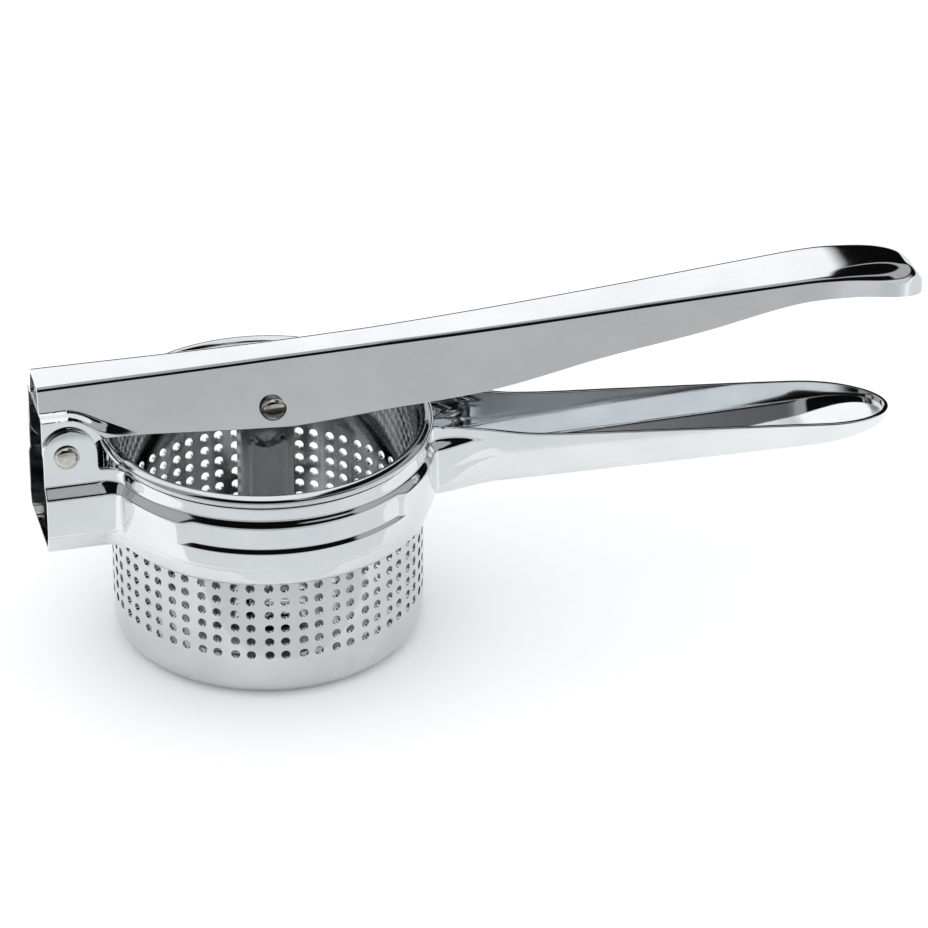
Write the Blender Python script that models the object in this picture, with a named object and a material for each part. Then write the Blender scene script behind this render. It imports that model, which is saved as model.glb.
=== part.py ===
"""Potato ricer with a hinged lever, a plunger on a pivot and a loose perforated basket.

The origin is the centre of the basket's flat bottom. +X runs along the handles, away from the
hinge, and +Z is up. Every size is in metres. The frame and the lever are pressed from sheet, so
each one is a grid of cross-sections, with an outer and an inner skin one sheet thickness apart.
"""

import math

import bmesh
import bpy
from mathutils import Vector

# Basket
BASKET_RADIUS = 0.0420
BASKET_HEIGHT = 0.0629
BASKET_WALL = 0.0009
BASKET_CORNER = 0.0060
BEAD_RADIUS = 0.0016
HOLE_PAIRS = 29
HOLE_ROWS = 6
HOLE_ROW_PITCH = 0.0041
HOLE_LOWEST_ROW = 0.0137
HOLE_RADIUS = 0.00125
HOLE_SPACING_IN_PAIR = 0.0042
FIRST_PAIR_ANGLE = math.radians(-161.1)
FLOOR_HOLE_RINGS = 4
FLOOR_RING_PITCH = 0.0080

# Frame: bracket, ring and lower handle in one pressing
SHEET = 0.0012
FIT = 0.0004
FRAME_BOTTOM = 0.0360
RING_TOP_GAP = 0.0003
LEDGE_TOP = 0.0558
LEDGE_DROP = 0.0026
LEDGE_STEP = 0.0020
BEND_RISE = 0.0058
BEND_INSET = 0.0012
LIP_INSET = 0.0010
BRACKET_HALF_WIDTH = 0.0122
BRACKET_LEFT = -0.0618
FILLET_RADIUS = 0.0070
FILLET_STEPS = 4
RING_STEPS = 22
EAR_RADIUS = 0.0073
EAR_SHIFT = 0.0008
EAR_STATIONS = (40, 65, 90, 115, 140, 158, 170)
EAR_FOOT = 0.0006
HANDLE_HALF_WIDTH = 0.0130
HANDLE_ROOT_INSET = 0.0008
HANDLE_ROOT_RUN = 0.0030
HANDLE_STEPS = 8
HANDLE_TIP_STEPS = 7
HANDLE_END = 0.1750
HANDLE_ROUND_LENGTH = 0.0230
HANDLE_FLOOR_RISE = 0.0026
HANDLE_TIP_RISE = 0.0014
HANDLE_RISE_RUN = (0.0375, 0.0430)
HANDLE_TIP_RUN = (0.1500, 0.1750)
HANDLE_BLEND_RUN = (0.0430, 0.0620)
HANDLE_BEND_INSET = 0.0012
HANDLE_LIP_INSET = 0.0006
HANDLE_SHARES = (0.0, 0.18, 0.35, 0.72, 0.90)
HANDLE_DRAFT = math.radians(7.0)
HANDLE_EDGE = (
    (0.046, 0.0590),
    (0.058, 0.0563),
    (0.072, 0.0531),
    (0.100, 0.0502),
    (0.150, 0.0454),
    (0.175, 0.0425),
)

# Hinge
HINGE_X = -0.0557
HINGE_Z = 0.0644
PIN_RADIUS = 0.0020
PIN_CLEARANCE = 0.0003
RIVET_HEAD_RADIUS = 0.0034
RIVET_HEAD_HEIGHT = 0.0013
SLEEVE_WALL = 0.0010
PIN_STEPS = 16

# Lever: upper handle
LEVER_END = 0.1828
LEVER_ROUND_LENGTH = 0.0170
LEVER_BEND_RADIUS = 0.0025
LEVER_FLARE = math.radians(15.0)
LOBE_RADIUS = 0.0100
LOBE_HEEL_RADIUS = 0.0060
LOBE_BLEND_REACH = 0.0220
LOBE_BLEND_RISE = 0.0030
LEVER_WALL_SHARES = (0.0, 0.15, 0.3, 0.45, 0.6, 0.8, 1.0)
LEVER_BEND_ANGLES = (35.0, 70.0)
LEVER_HEEL_ANGLES = (0, 20, 40, 65, 90)
LEVER_BLEND_SHARES = (0.12, 0.25, 0.4, 0.6, 0.8, 1.0, 1.15)
LEVER_STATIONS = (-0.018, 0.0, 0.008, 0.022, 0.040, 0.062, 0.085, 0.110, 0.135, 0.152)
LEVER_TIP_ANGLES = (0, 18, 35, 50, 64, 77, 90)
LEVER_TOP = (
    (-0.062, 0.0829),
    (0.000, 0.0832),
    (0.060, 0.0848),
    (0.155, 0.0897),
    (0.168, 0.0897),
    (0.176, 0.0876),
    (0.1828, 0.0810),
)
LEVER_EDGE = (
    (-0.046, 0.0676),
    (0.000, 0.0639),
    (0.008, 0.0637),
    (0.040, 0.0659),
    (0.062, 0.0678),
    (0.090, 0.0730),
    (0.118, 0.0774),
    (0.145, 0.0825),
    (0.160, 0.0826),
    (0.172, 0.0808),
    (0.1828, 0.0780),
)
LEVER_HALF_TOP = ((-0.062, 0.0060), (0.000, 0.0049), (0.030, 0.0050), (0.100, 0.0072), (0.155, 0.0096))

# Plunger
PLUNGER_PIN_X = 0.0004
PLUNGER_PIN_Z = 0.0694
STEM_CENTRE_X = -0.0004
STEM_WIDTH = 0.0140
STEM_HALF_DEPTH = 0.0040
STEM_CREASE = 0.0010
STEM_FOLD = 0.0015
STEM_SHOULDER = 0.0085
STEM_INWARDS = -1.0
STEM_EAR_RADIUS = 0.0046
STEM_FOOT_LENGTH = 0.0095
STEM_CREASE_FADE = 0.0075
STEM_LOW_ROW = 0.0200
STEM_EAR_STEPS = 9
STEM_EAR_START = math.radians(-15.0)
STEM_EAR_TURN = math.radians(210.0)
DISC_CENTRE_X = -0.0018
DISC_RADIUS = 0.0380
DISC_BOTTOM = 0.0032
DISC_SHEET = 0.0015
DISC_LIP = 0.0024
DISC_RIVET_RADIUS = 0.0015
DISC_RIVET_HEAD = 0.0024
DISC_RIVET_SPREAD = 0.0033
DISC_RIVET_TOP = 0.0010
DISC_RIVET_FOOT = 0.0006
DISC_EDGE = 0.0008
DISC_TURN = 0.0025

GAP = 0.0003
MERGE = 0.000001


def clear_scene():
    for old in list(bpy.data.objects):
        bpy.data.objects.remove(old)


def steel(name, colour, roughness):
    """A bright metal finish for one sub-part."""
    metal = bpy.data.materials.new(name)
    metal.use_nodes = True
    shader = metal.node_tree.nodes["Principled BSDF"]
    shader.inputs["Base Color"].default_value = (*colour, 1.0)
    shader.inputs["Metallic"].default_value = 1.0
    shader.inputs["Roughness"].default_value = roughness
    return metal


def add_object(name, mesh, material=None, pivot=None):
    """Places a mesh whose points are world points, with its origin on the empty it hangs from."""
    obj = bpy.data.objects.new(name, mesh)
    bpy.context.scene.collection.objects.link(obj)
    if pivot is not None:
        for vertex in mesh.vertices:
            vertex.co -= pivot.location
        obj.parent = pivot
    if material is not None:
        mesh.materials.append(material)
    mesh.shade_smooth()
    mesh.set_sharp_from_angle(angle=math.radians(35.0))
    return obj


def mesh_from(shape, name):
    """Turns a finished bmesh into a mesh whose faces all point outwards."""
    bmesh.ops.remove_doubles(shape, verts=shape.verts, dist=MERGE)
    bmesh.ops.dissolve_degenerate(shape, edges=shape.edges, dist=MERGE)
    bmesh.ops.recalc_face_normals(shape, faces=shape.faces)
    if shape.calc_volume(signed=True) < 0.0:
        bmesh.ops.reverse_faces(shape, faces=shape.faces)
    mesh = bpy.data.meshes.new(name)
    shape.to_mesh(mesh)
    shape.free()
    return mesh


def pivot_at(name, x, z):
    """An empty on a joint's axis, which the pieces that turn about it hang from."""
    empty = bpy.data.objects.new(name, None)
    empty.location = (x, 0.0, z)
    bpy.context.scene.collection.objects.link(empty)
    return empty


def between(table, x):
    """Reads a curve given by (x, value) points, straight between them and level past its ends."""
    if x <= table[0][0]:
        return table[0][1]
    for (x0, v0), (x1, v1) in zip(table, table[1:]):
        if x <= x1:
            return v0 + (v1 - v0) * (x - x0) / (x1 - x0)
    return table[-1][1]


def eased(table, x):
    """As between, with the slope softened towards each point so the curve has no kinks."""
    if x <= table[0][0]:
        return table[0][1]
    points = [table[0], *table, table[-1]]
    for before, (x0, v0), (x1, v1), after in zip(points, points[1:], points[2:], points[3:]):
        if x <= x1 and x1 > x0:
            t = (x - x0) / (x1 - x0)
            slope0 = (v1 - before[1]) / (x1 - before[0]) * (x1 - x0)
            slope1 = (after[1] - v0) / (after[0] - x0) * (x1 - x0)
            curve = (2 * t**3 - 3 * t**2 + 1) * v0 + (t**3 - 2 * t**2 + t) * slope0
            return curve + (3 * t**2 - 2 * t**3) * v1 + (t**3 - t**2) * slope1
    return table[-1][1]


def smooth_step(low, high, value):
    t = min(max((value - low) / (high - low), 0.0), 1.0)
    return t * t * (3.0 - 2.0 * t)


def bridge(shape, first, second, close=False):
    """Fills the strip between two rows of vertices, leaving out faces that have shrunk to a line."""
    count = len(first)
    for i in range(count if close else count - 1):
        j = (i + 1) % count
        corners = []
        for vertex in (first[i], first[j], second[j], second[i]):
            if all((vertex.co - other.co).length > MERGE for other in corners):
                corners.append(vertex)
        if len(corners) > 2:
            shape.faces.new(corners)


def add_sheet(shape, outer, inner, side, lip):
    """One half of a pressed sheet: both skins, its free edge, its open end and, along lip, its hole."""
    skins = []
    for rows in (outer, inner):
        skins.append([[shape.verts.new((x, side * y, z)) for x, y, z in row] for row in rows])
        for first, second in zip(skins[-1], skins[-1][1:]):
            bridge(shape, first, second)
    outside, inside = skins
    bridge(shape, [row[0] for row in outside], [row[0] for row in inside])
    bridge(shape, outside[0], inside[0])
    if lip:
        first, last = lip
        bridge(shape, [row[-1] for row in outside[first:last]], [row[-1] for row in inside[first:last]])


def sheet_mesh(name, outer, inner, lip=None):
    """A pressing that is the same on both sides of the XZ plane."""
    shape = bmesh.new()
    for side in (1.0, -1.0):
        add_sheet(shape, outer, inner, side, lip)
    return mesh_from(shape, name)


def turned_mesh(name, profile, steps, centre=(0.0, 0.0), phase=0.0):
    """Turns a closed outline of (radius, z) points about the vertical through centre."""
    shape = bmesh.new()
    rings = []
    for radius, z in profile:
        ring = []
        for step in range(steps):
            angle = phase + 2 * math.pi * step / steps
            ring.append((centre[0] + radius * math.cos(angle), centre[1] + radius * math.sin(angle), z))
        if radius < MERGE:
            ring = ring[:1] * steps
        rings.append([shape.verts.new(point) for point in ring])
    for first, second in zip(rings, rings[1:] + rings[:1]):
        if (first[0].co - second[0].co).length < MERGE:
            continue
        if profile[rings.index(first)][0] < MERGE and profile[rings.index(second)][0] < MERGE:
            continue
        bridge(shape, first, second, close=True)
    return mesh_from(shape, name)


def pin_mesh(name, x, z, radii, y_places):
    """A pin along Y: radii at places along its length, closed by a flat at each end."""
    shape = bmesh.new()
    rings = []
    for radius, y in zip(radii, y_places):
        ring = []
        for step in range(PIN_STEPS):
            angle = 2 * math.pi * step / PIN_STEPS
            ring.append(shape.verts.new((x + radius * math.cos(angle), y, z + radius * math.sin(angle))))
        rings.append(ring)
    for first, second in zip(rings, rings[1:]):
        bridge(shape, first, second, close=True)
    shape.faces.new(rings[0])
    shape.faces.new(rings[-1])
    return mesh_from(shape, name)


def cut(obj, cutter_mesh, pivot=None):
    """Cuts a helper's shape out of a piece."""
    cutter = add_object(cutter_mesh.name, cutter_mesh, pivot=pivot)
    cutter.hide_render = True
    cutter.display_type = "WIRE"
    modifier = obj.modifiers.new(cutter_mesh.name, "BOOLEAN")
    modifier.operation = "DIFFERENCE"
    modifier.solver = "EXACT"
    modifier.object = cutter


def add_prism(shape, centre, along, across, radius, half_length):
    """A square prism round a hole's centre line, with its corners on the hole's circle."""
    up = along.cross(across)
    ends = []
    for end in (-1.0, 1.0):
        ring = []
        for corner in range(4):
            angle = math.pi * (0.25 + 0.5 * corner)
            offset = across * math.cos(angle) + up * math.sin(angle)
            ring.append(shape.verts.new(centre + offset * radius + along * end * half_length))
        ends.append(ring)
        shape.faces.new(ring)
    bridge(shape, ends[0], ends[1], close=True)


# ---------------------------------------------------------------- basket


def basket_profile():
    """Half section of the cup, from its bottom centre up the outside, over the bead and down inside."""
    outer_corner = []
    inner_corner = []
    for step in range(4):
        angle = math.radians(30.0 * step)
        reach = BASKET_RADIUS - BASKET_CORNER
        outer_corner.append((reach + BASKET_CORNER * math.sin(angle), BASKET_CORNER * (1 - math.cos(angle))))
        small = BASKET_CORNER - BASKET_WALL
        inner_corner.append((reach + small * math.sin(angle), BASKET_CORNER - small * math.cos(angle)))
    bead_centre = (BASKET_RADIUS + BEAD_RADIUS - BASKET_WALL * 0.5, BASKET_HEIGHT - BEAD_RADIUS)
    bead = []
    for step in range(4):
        angle = math.radians(-90.0 + 75.0 * step)
        bead.append(
            (
                bead_centre[0] + BEAD_RADIUS * math.cos(angle),
                bead_centre[1] + BEAD_RADIUS * math.sin(angle),
            )
        )
    neck = (BASKET_RADIUS, bead[0][1])
    inside_top = (BASKET_RADIUS - BASKET_WALL, bead_centre[1])
    outside = [(0.0, 0.0), *outer_corner, neck, *bead, inside_top]
    return outside + inner_corner[::-1] + [(0.0, BASKET_WALL)]


def side_hole_angles():
    half_spacing = 0.5 * HOLE_SPACING_IN_PAIR / BASKET_RADIUS
    for pair in range(HOLE_PAIRS):
        middle = FIRST_PAIR_ANGLE + 2 * math.pi * pair / HOLE_PAIRS
        yield middle - half_spacing
        yield middle + half_spacing


def basket_holes():
    """Every hole's cutter in one mesh: pairs of columns round the wall and rings in the floor."""
    shape = bmesh.new()
    up = Vector((0.0, 0.0, 1.0))
    for angle in side_hole_angles():
        outwards = Vector((math.cos(angle), math.sin(angle), 0.0))
        for row in range(HOLE_ROWS):
            middle = outwards * BASKET_RADIUS
            middle.z = HOLE_LOWEST_ROW + HOLE_ROW_PITCH * row
            add_prism(shape, middle, outwards, up.cross(outwards), HOLE_RADIUS, BASKET_WALL * 2.5)
    for ring in range(1, FLOOR_HOLE_RINGS + 1):
        for step in range(6 * ring):
            angle = math.pi * step / (3 * ring)
            outwards = Vector((math.cos(angle), math.sin(angle), 0.0))
            middle = outwards * FLOOR_RING_PITCH * ring
            middle.z = BASKET_WALL * 0.5
            add_prism(shape, middle, up, outwards, HOLE_RADIUS, BASKET_WALL * 1.5)
    return mesh_from(shape, "basket_hole_cutters")


def make_basket(metal):
    mesh = turned_mesh("basket", basket_profile(), 2 * HOLE_PAIRS, phase=FIRST_PAIR_ANGLE)
    basket = add_object("basket", mesh, metal)
    cut(basket, basket_holes())
    return basket


# ---------------------------------------------------------------- frame


def ring_radius():
    """Outer radius of the ring above its ledge."""
    return BASKET_RADIUS + FIT + SHEET


def ring_top():
    return BASKET_HEIGHT - 2 * BEAD_RADIUS - RING_TOP_GAP


def bracket_path(middle_x, middle_y, start):
    """Stations along the bracket's straight wall and round the fillet into the ring."""
    ear_centre = HINGE_X + EAR_SHIFT
    ear_end = ear_centre + EAR_RADIUS
    straight = [BRACKET_LEFT]
    straight += [ear_centre - EAR_RADIUS * math.cos(math.radians(angle)) for angle in EAR_STATIONS]
    straight += [ear_end, ear_end + EAR_FOOT]
    path = []
    for x in straight:
        if BRACKET_LEFT <= x < -middle_x:
            path.append((x, -BRACKET_HALF_WIDTH, 0.0, -1.0, None))
    for step in range(FILLET_STEPS):
        angle = math.pi / 2 - (math.pi / 2 - start) * step / FILLET_STEPS
        x = -middle_x + FILLET_RADIUS * math.cos(angle)
        y = -middle_y + FILLET_RADIUS * math.sin(angle)
        hole = None
        if 2 * step >= FILLET_STEPS:
            hole = math.pi + 0.5 * hole_turn(start) * (step - FILLET_STEPS / 2)
        path.append((x, y, -math.cos(angle), -math.sin(angle), hole))
    return path


def hole_turn(turn):
    """The share of a blend's turn that the stations on the hole's rim have made there."""
    return 0.55 * turn


def ring_path(start, end):
    """Stations round the ring, with those of the hole's rim spread a little past both blends."""
    ring = ring_radius()
    path = []
    for step in range(RING_STEPS + 1):
        angle = math.pi + start + (math.pi - start - end) * step / RING_STEPS
        hole = angle
        if step < 3:
            first = math.pi + hole_turn(start)
            hole = first + (angle - first) * step / 3
        if step > RING_STEPS - 3:
            last = 2 * math.pi - hole_turn(end)
            hole = last + (angle - last) * (RING_STEPS - step) / 3
        path.append((ring * math.cos(angle), ring * math.sin(angle), math.cos(angle), math.sin(angle), hole))
    path[-1] = (*path[-1][:4], 2 * math.pi)
    return path


def handle_path(first_x, root_y):
    """Stations along the handle's wall and round its tip."""
    round_start = HANDLE_END - HANDLE_ROUND_LENGTH
    path = []
    for step in range(HANDLE_STEPS + 1):
        x = first_x + (round_start - first_x) * step / HANDLE_STEPS
        y = root_y + (HANDLE_HALF_WIDTH - root_y) * smooth_step(first_x, round_start, x)
        path.append((x, -y, 0.0, -1.0, None))
    for step in range(1, HANDLE_TIP_STEPS + 1):
        angle = math.pi / 2 * (1 - step / HANDLE_TIP_STEPS)
        x = round_start + HANDLE_ROUND_LENGTH * math.cos(angle)
        y = HANDLE_HALF_WIDTH * math.sin(angle)
        normal_x = math.cos(angle) * HANDLE_HALF_WIDTH
        normal_y = math.sin(angle) * HANDLE_ROUND_LENGTH
        length = math.hypot(normal_x, normal_y)
        path.append((x, -y, normal_x / length, -normal_y / length, None))
    return path


def frame_path():
    """(x, y, normal x, normal y, hole angle or None) along the front wall, from the hinge end to the tip."""
    ring = ring_radius()
    middle_y = BRACKET_HALF_WIDTH + FILLET_RADIUS
    middle_x = math.sqrt((ring + FILLET_RADIUS) ** 2 - middle_y**2)
    start = math.atan2(middle_y, middle_x)
    root_y = HANDLE_HALF_WIDTH - HANDLE_ROOT_INSET
    end = math.asin(root_y / ring)
    first_x = ring * math.cos(end) + HANDLE_ROOT_RUN
    return bracket_path(middle_x, middle_y, start) + ring_path(start, end) + handle_path(first_x, root_y)


def frame_edge(x):
    """Height of the frame's upper edge: the ear, the ring's top, then the handle's falling edge."""
    edge = ring_top()
    reach = EAR_RADIUS**2 - (x - HINGE_X - EAR_SHIFT) ** 2
    if reach > 0.0:
        edge = max(edge, HINGE_Z + math.sqrt(reach))
    if x > HANDLE_EDGE[0][0]:
        edge = eased(HANDLE_EDGE, x)
    return edge


def frame_floor(x):
    """Height of the underside: level under the ring, a little higher along the handle."""
    rise = HANDLE_FLOOR_RISE * smooth_step(*HANDLE_RISE_RUN, x)
    return FRAME_BOTTOM + rise + HANDLE_TIP_RISE * smooth_step(*HANDLE_TIP_RUN, x)


def frame_rows(top, floor, handle):
    """(offset from the wall's line, height) down the outer skin, from the ledged ring to the plain handle."""
    heights = (top, LEDGE_TOP, LEDGE_TOP - LEDGE_DROP, FRAME_BOTTOM + BEND_RISE, floor + SHEET)
    offsets = (0.0, 0.0, LEDGE_STEP, LEDGE_STEP, LEDGE_STEP - BEND_INSET)
    rows = []
    for height, offset, share in zip(heights, offsets, HANDLE_SHARES):
        drop = (top - floor) * share
        handle_offset = -drop * math.tan(HANDLE_DRAFT) - HANDLE_BEND_INSET * smooth_step(0.6, 1.0, share)
        handle_height = top - drop
        rows.append((offset + (handle_offset - offset) * handle, height + (handle_height - height) * handle))
    rows.append((rows[-1][0] - LIP_INSET - HANDLE_LIP_INSET * handle, floor))
    return rows


def frame_section(place):
    """Outer and inner rows of points across the wall and floor at one place on the path."""
    x, y, nx, ny, hole = place
    floor = frame_floor(x)
    handle = smooth_step(*HANDLE_BLEND_RUN, x)
    rows = frame_rows(frame_edge(x), floor, handle)
    outer = [(x + nx * offset, y + ny * offset, z) for offset, z in rows]
    inner = [(x + nx * (offset - SHEET), y + ny * (offset - SHEET), z) for offset, z in rows]
    for row in (1, 2):
        inner[row] = (*inner[row][:2], inner[row][2] - 0.45 * SHEET * (1.0 - handle))
    inner[4] = (*inner[4][:2], floor + 1.6 * SHEET)
    inner[5] = (outer[5][0] - 0.5 * nx * SHEET, outer[5][1] - 0.5 * ny * SHEET, floor + SHEET)
    ends = [(outer[5][0], 0.0), (inner[5][0], 0.0)]
    if hole is not None:
        radius = BASKET_RADIUS + FIT
        ends = [(radius * math.cos(hole), radius * math.sin(hole))] * 2
    outer.append((*ends[0], floor))
    inner.append((*ends[1], floor + SHEET))
    if abs(y) < MERGE:
        outer = [(px, 0.0, pz) for px, py, pz in outer]
        inner = [(px, 0.0, pz) for px, py, pz in inner]
    return outer, inner


def make_frame(metal):
    path = frame_path()
    sections = [frame_section(place) for place in path]
    holes = [index for index, place in enumerate(path) if place[4] is not None]
    outer = [section[0] for section in sections]
    inner = [section[1] for section in sections]
    mesh = sheet_mesh("frame", outer, inner, lip=(holes[0], holes[-1] + 1))
    frame = add_object("frame", mesh, metal)
    reach = BRACKET_HALF_WIDTH + SHEET
    radius = PIN_RADIUS + PIN_CLEARANCE
    cut(frame, pin_mesh("frame_pin_cutter", HINGE_X, HINGE_Z, (radius, radius), (-reach, reach)))
    return frame


# ---------------------------------------------------------------- lever


def lever_lobe():
    """Outer half width of the lever's lobes, which turn just inside the frame's ears."""
    return BRACKET_HALF_WIDTH - SHEET - FIT


def lever_edge(x):
    """Height of the lower edge: the round heel about the hinge, then the long straight run."""
    heel = LOBE_HEEL_RADIUS**2 - (x - HINGE_X) ** 2
    if x <= HINGE_X:
        return HINGE_Z - math.sqrt(max(heel, 0.0))
    edge = eased(LEVER_EDGE, x)
    bottom = HINGE_Z - LOBE_HEEL_RADIUS
    return bottom + (edge - bottom) * smooth_step(HINGE_X, LEVER_EDGE[0][0], x)


def lever_side(x, z, top, half_top):
    """Outer half width of the side wall at one point, flared out to the lobes near the hinge."""
    wall = half_top + max(top - LEVER_BEND_RADIUS - z, 0.0) * math.tan(LEVER_FLARE)
    dx = x - HINGE_X
    dz = z - HINGE_Z
    near = math.hypot(dx, dz) / LOBE_RADIUS
    reach = LOBE_BLEND_REACH if dx > 0.0 else 1.0
    far = math.hypot(dx / reach, dz / (LOBE_RADIUS + LOBE_BLEND_RISE))
    if dx <= 0.0:
        near = abs(dz) / LOBE_RADIUS
        far = abs(dz) / (LOBE_RADIUS + LOBE_BLEND_RISE)
    if near <= 1.0 or z < HINGE_Z:
        share = 1.0 if far < 1.0 or near <= 1.0 else 0.0
    elif far >= 1.0:
        share = 0.0
    else:
        share = (1.0 - far) / ((1.0 - far) + (near - 1.0) * 0.5)
    return wall + (lever_lobe() - wall) * share


def lever_section(x, inset):
    """Points from the lower edge up the front wall to the middle of the top, pulled in by inset."""
    round_start = LEVER_END - LEVER_ROUND_LENGTH
    taper = 1.0
    if x > round_start:
        taper = math.sqrt(max(1.0 - ((x - round_start) / (LEVER_ROUND_LENGTH - inset)) ** 2, 0.0))
    top = eased(LEVER_TOP, x)
    low = lever_edge(x)
    half_top = between(LEVER_HALF_TOP, x)
    bend = min(LEVER_BEND_RADIUS, 0.7 * (top - low))
    points = []
    for share in LEVER_WALL_SHARES:
        z = low + (top - bend - low) * share
        points.append((x, -(lever_side(x, z, top, half_top) - inset), z))
    for angle in LEVER_BEND_ANGLES:
        turn = math.radians(angle)
        radius = bend - inset
        y = half_top - bend + radius * math.cos(turn)
        points.append((x, -y, top - bend + radius * math.sin(turn)))
    points.append((x, -(half_top - bend), top - inset))
    points.append((x, 0.0, top - inset))
    return [(px, py * taper, pz) for px, py, pz in points]


def lever_places(inset):
    """Where along X the lever's sections stand: close at the hinge and round the tip."""
    heel = [HINGE_X - LOBE_HEEL_RADIUS * math.cos(math.radians(angle)) for angle in LEVER_HEEL_ANGLES]
    blend = [HINGE_X + LOBE_BLEND_REACH * share for share in LEVER_BLEND_SHARES]
    round_start = LEVER_END - LEVER_ROUND_LENGTH
    round_length = LEVER_ROUND_LENGTH - inset
    tip = [round_start + round_length * math.sin(math.radians(angle)) for angle in LEVER_TIP_ANGLES]
    return heel + blend + list(LEVER_STATIONS) + tip


def make_lever(metal, pivot):
    outer = [lever_section(x, 0.0) for x in lever_places(0.0)]
    inner = [lever_section(x, SHEET) for x in lever_places(SHEET)]
    mesh = sheet_mesh("lever", outer, inner)
    lever = add_object("lever", mesh, metal, pivot)
    reach = BRACKET_HALF_WIDTH
    radius = PIN_RADIUS + PIN_CLEARANCE
    for name, x, z in (("hinge", HINGE_X, HINGE_Z), ("pin", PLUNGER_PIN_X, PLUNGER_PIN_Z)):
        bore = pin_mesh(f"lever_{name}_cutter", x, z, (radius, radius), (-reach, reach))
        cut(lever, bore, pivot)
    return lever


# ---------------------------------------------------------------- pins


def rivet(name, x, z, half_grip, metal, pivot=None):
    """A pin with a low domed head outside each wall."""
    seat = half_grip + GAP
    rim = seat + RIVET_HEAD_HEIGHT * 0.45
    crown = seat + RIVET_HEAD_HEIGHT
    radii = [RIVET_HEAD_RADIUS * share for share in (0.45, 0.86, 1.0, 1.0)] + [PIN_RADIUS]
    places = [crown, seat + RIVET_HEAD_HEIGHT * 0.8, rim, seat, seat]
    mesh = pin_mesh(name, x, z, radii + radii[::-1], [-y for y in places] + places[::-1])
    return add_object(name, mesh, metal, pivot)


def sleeve(name, x, z, half_length, metal, pivot=None):
    """A spacer tube on a pin, between the two walls the pin holds."""
    inner = PIN_RADIUS + PIN_CLEARANCE
    outer = inner + SLEEVE_WALL
    shape = bmesh.new()
    rings = []
    corners = ((inner, -half_length), (outer, -half_length), (outer, half_length), (inner, half_length))
    for radius, y in corners:
        ring = []
        for step in range(PIN_STEPS):
            angle = 2 * math.pi * step / PIN_STEPS
            ring.append(shape.verts.new((x + radius * math.cos(angle), y, z + radius * math.sin(angle))))
        rings.append(ring)
    for first, second in zip(rings, rings[1:] + rings[:1]):
        bridge(shape, first, second, close=True)
    return add_object(name, mesh_from(shape, name), metal, pivot)


def lever_wall_at_pin():
    """Outer half width of the lever's wall where the plunger pin crosses it."""
    top = eased(LEVER_TOP, PLUNGER_PIN_X)
    half_top = between(LEVER_HALF_TOP, PLUNGER_PIN_X)
    widest = PLUNGER_PIN_Z - RIVET_HEAD_RADIUS
    return lever_side(PLUNGER_PIN_X, widest, top, half_top)


# ---------------------------------------------------------------- plunger


def stem_columns(z):
    """Outer points of the folded stem at one height, from the back leg's free edge round to the front's."""
    left = STEM_CENTRE_X - STEM_WIDTH / 2
    right = STEM_CENTRE_X + STEM_WIDTH / 2
    shoulder = PLUNGER_PIN_Z - STEM_SHOULDER
    crease = STEM_CREASE * smooth_step(shoulder, shoulder - STEM_CREASE_FADE, z)
    half = [(left, STEM_HALF_DEPTH - STEM_FOLD), (left + STEM_FOLD, STEM_HALF_DEPTH)]
    half += [(STEM_CENTRE_X, STEM_HALF_DEPTH - crease), (right, STEM_HALF_DEPTH)]
    return half[::-1] + [(x, -y) for x, y in half]


def make_stem(metal, pivot):
    """Two legs and a web folded from one sheet, with pin ears above and riveted feet below."""
    foot_top = DISC_BOTTOM + DISC_SHEET + GAP + SHEET
    shoulder = PLUNGER_PIN_Z - STEM_SHOULDER
    left = STEM_CENTRE_X - STEM_WIDTH / 2 + STEM_FOLD
    right = STEM_CENTRE_X + STEM_WIDTH / 2
    shape = bmesh.new()
    rows = []
    for z in (foot_top, STEM_LOW_ROW, shoulder - 1.5 * STEM_CREASE_FADE, shoulder):
        rows.append([shape.verts.new((x, y, z)) for x, y in stem_columns(z)])
    for first, second in zip(rows, rows[1:]):
        bridge(shape, first, second)
    for leg, side in ((slice(0, 3), 1.0), (slice(5, 8), -1.0)):
        depth = side * STEM_HALF_DEPTH
        across = rows[-1][leg] if side < 0.0 else rows[-1][leg][::-1]
        ear = []
        for step in range(STEM_EAR_STEPS):
            angle = STEM_EAR_START + STEM_EAR_TURN * step / (STEM_EAR_STEPS - 1)
            x = PLUNGER_PIN_X + STEM_EAR_RADIUS * math.cos(angle)
            z = PLUNGER_PIN_Z + STEM_EAR_RADIUS * math.sin(angle)
            ear.append(shape.verts.new((x, depth, z)))
        shape.faces.new(across + ear)
        across = rows[0][leg] if side < 0.0 else rows[0][leg][::-1]
        far = depth + side * STEM_FOOT_LENGTH
        toe = [shape.verts.new((x, far, foot_top)) for x in (right, left)]
        shape.faces.new(across + toe)
    bmesh.ops.recalc_face_normals(shape, faces=shape.faces)
    mesh = bpy.data.meshes.new("stem")
    shape.to_mesh(mesh)
    shape.free()
    stem = add_object("stem", mesh, metal, pivot)
    thickness = stem.modifiers.new("sheet", "SOLIDIFY")
    thickness.thickness = SHEET
    thickness.offset = STEM_INWARDS
    thickness.use_even_offset = True
    thickness.use_quality_normals = True
    reach = STEM_HALF_DEPTH + SHEET
    radius = PIN_RADIUS + PIN_CLEARANCE + SLEEVE_WALL + GAP
    bore = pin_mesh("stem_pin_cutter", PLUNGER_PIN_X, PLUNGER_PIN_Z, (radius, radius), (-reach, reach))
    cut(stem, bore, pivot)
    holes = bmesh.new()
    for x, y in disc_rivet_places():
        add_disc_hole(holes, x, y, DISC_BOTTOM - SHEET, foot_top + SHEET)
    cut(stem, mesh_from(holes, "foot_hole_cutters"), pivot)
    return stem


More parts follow.
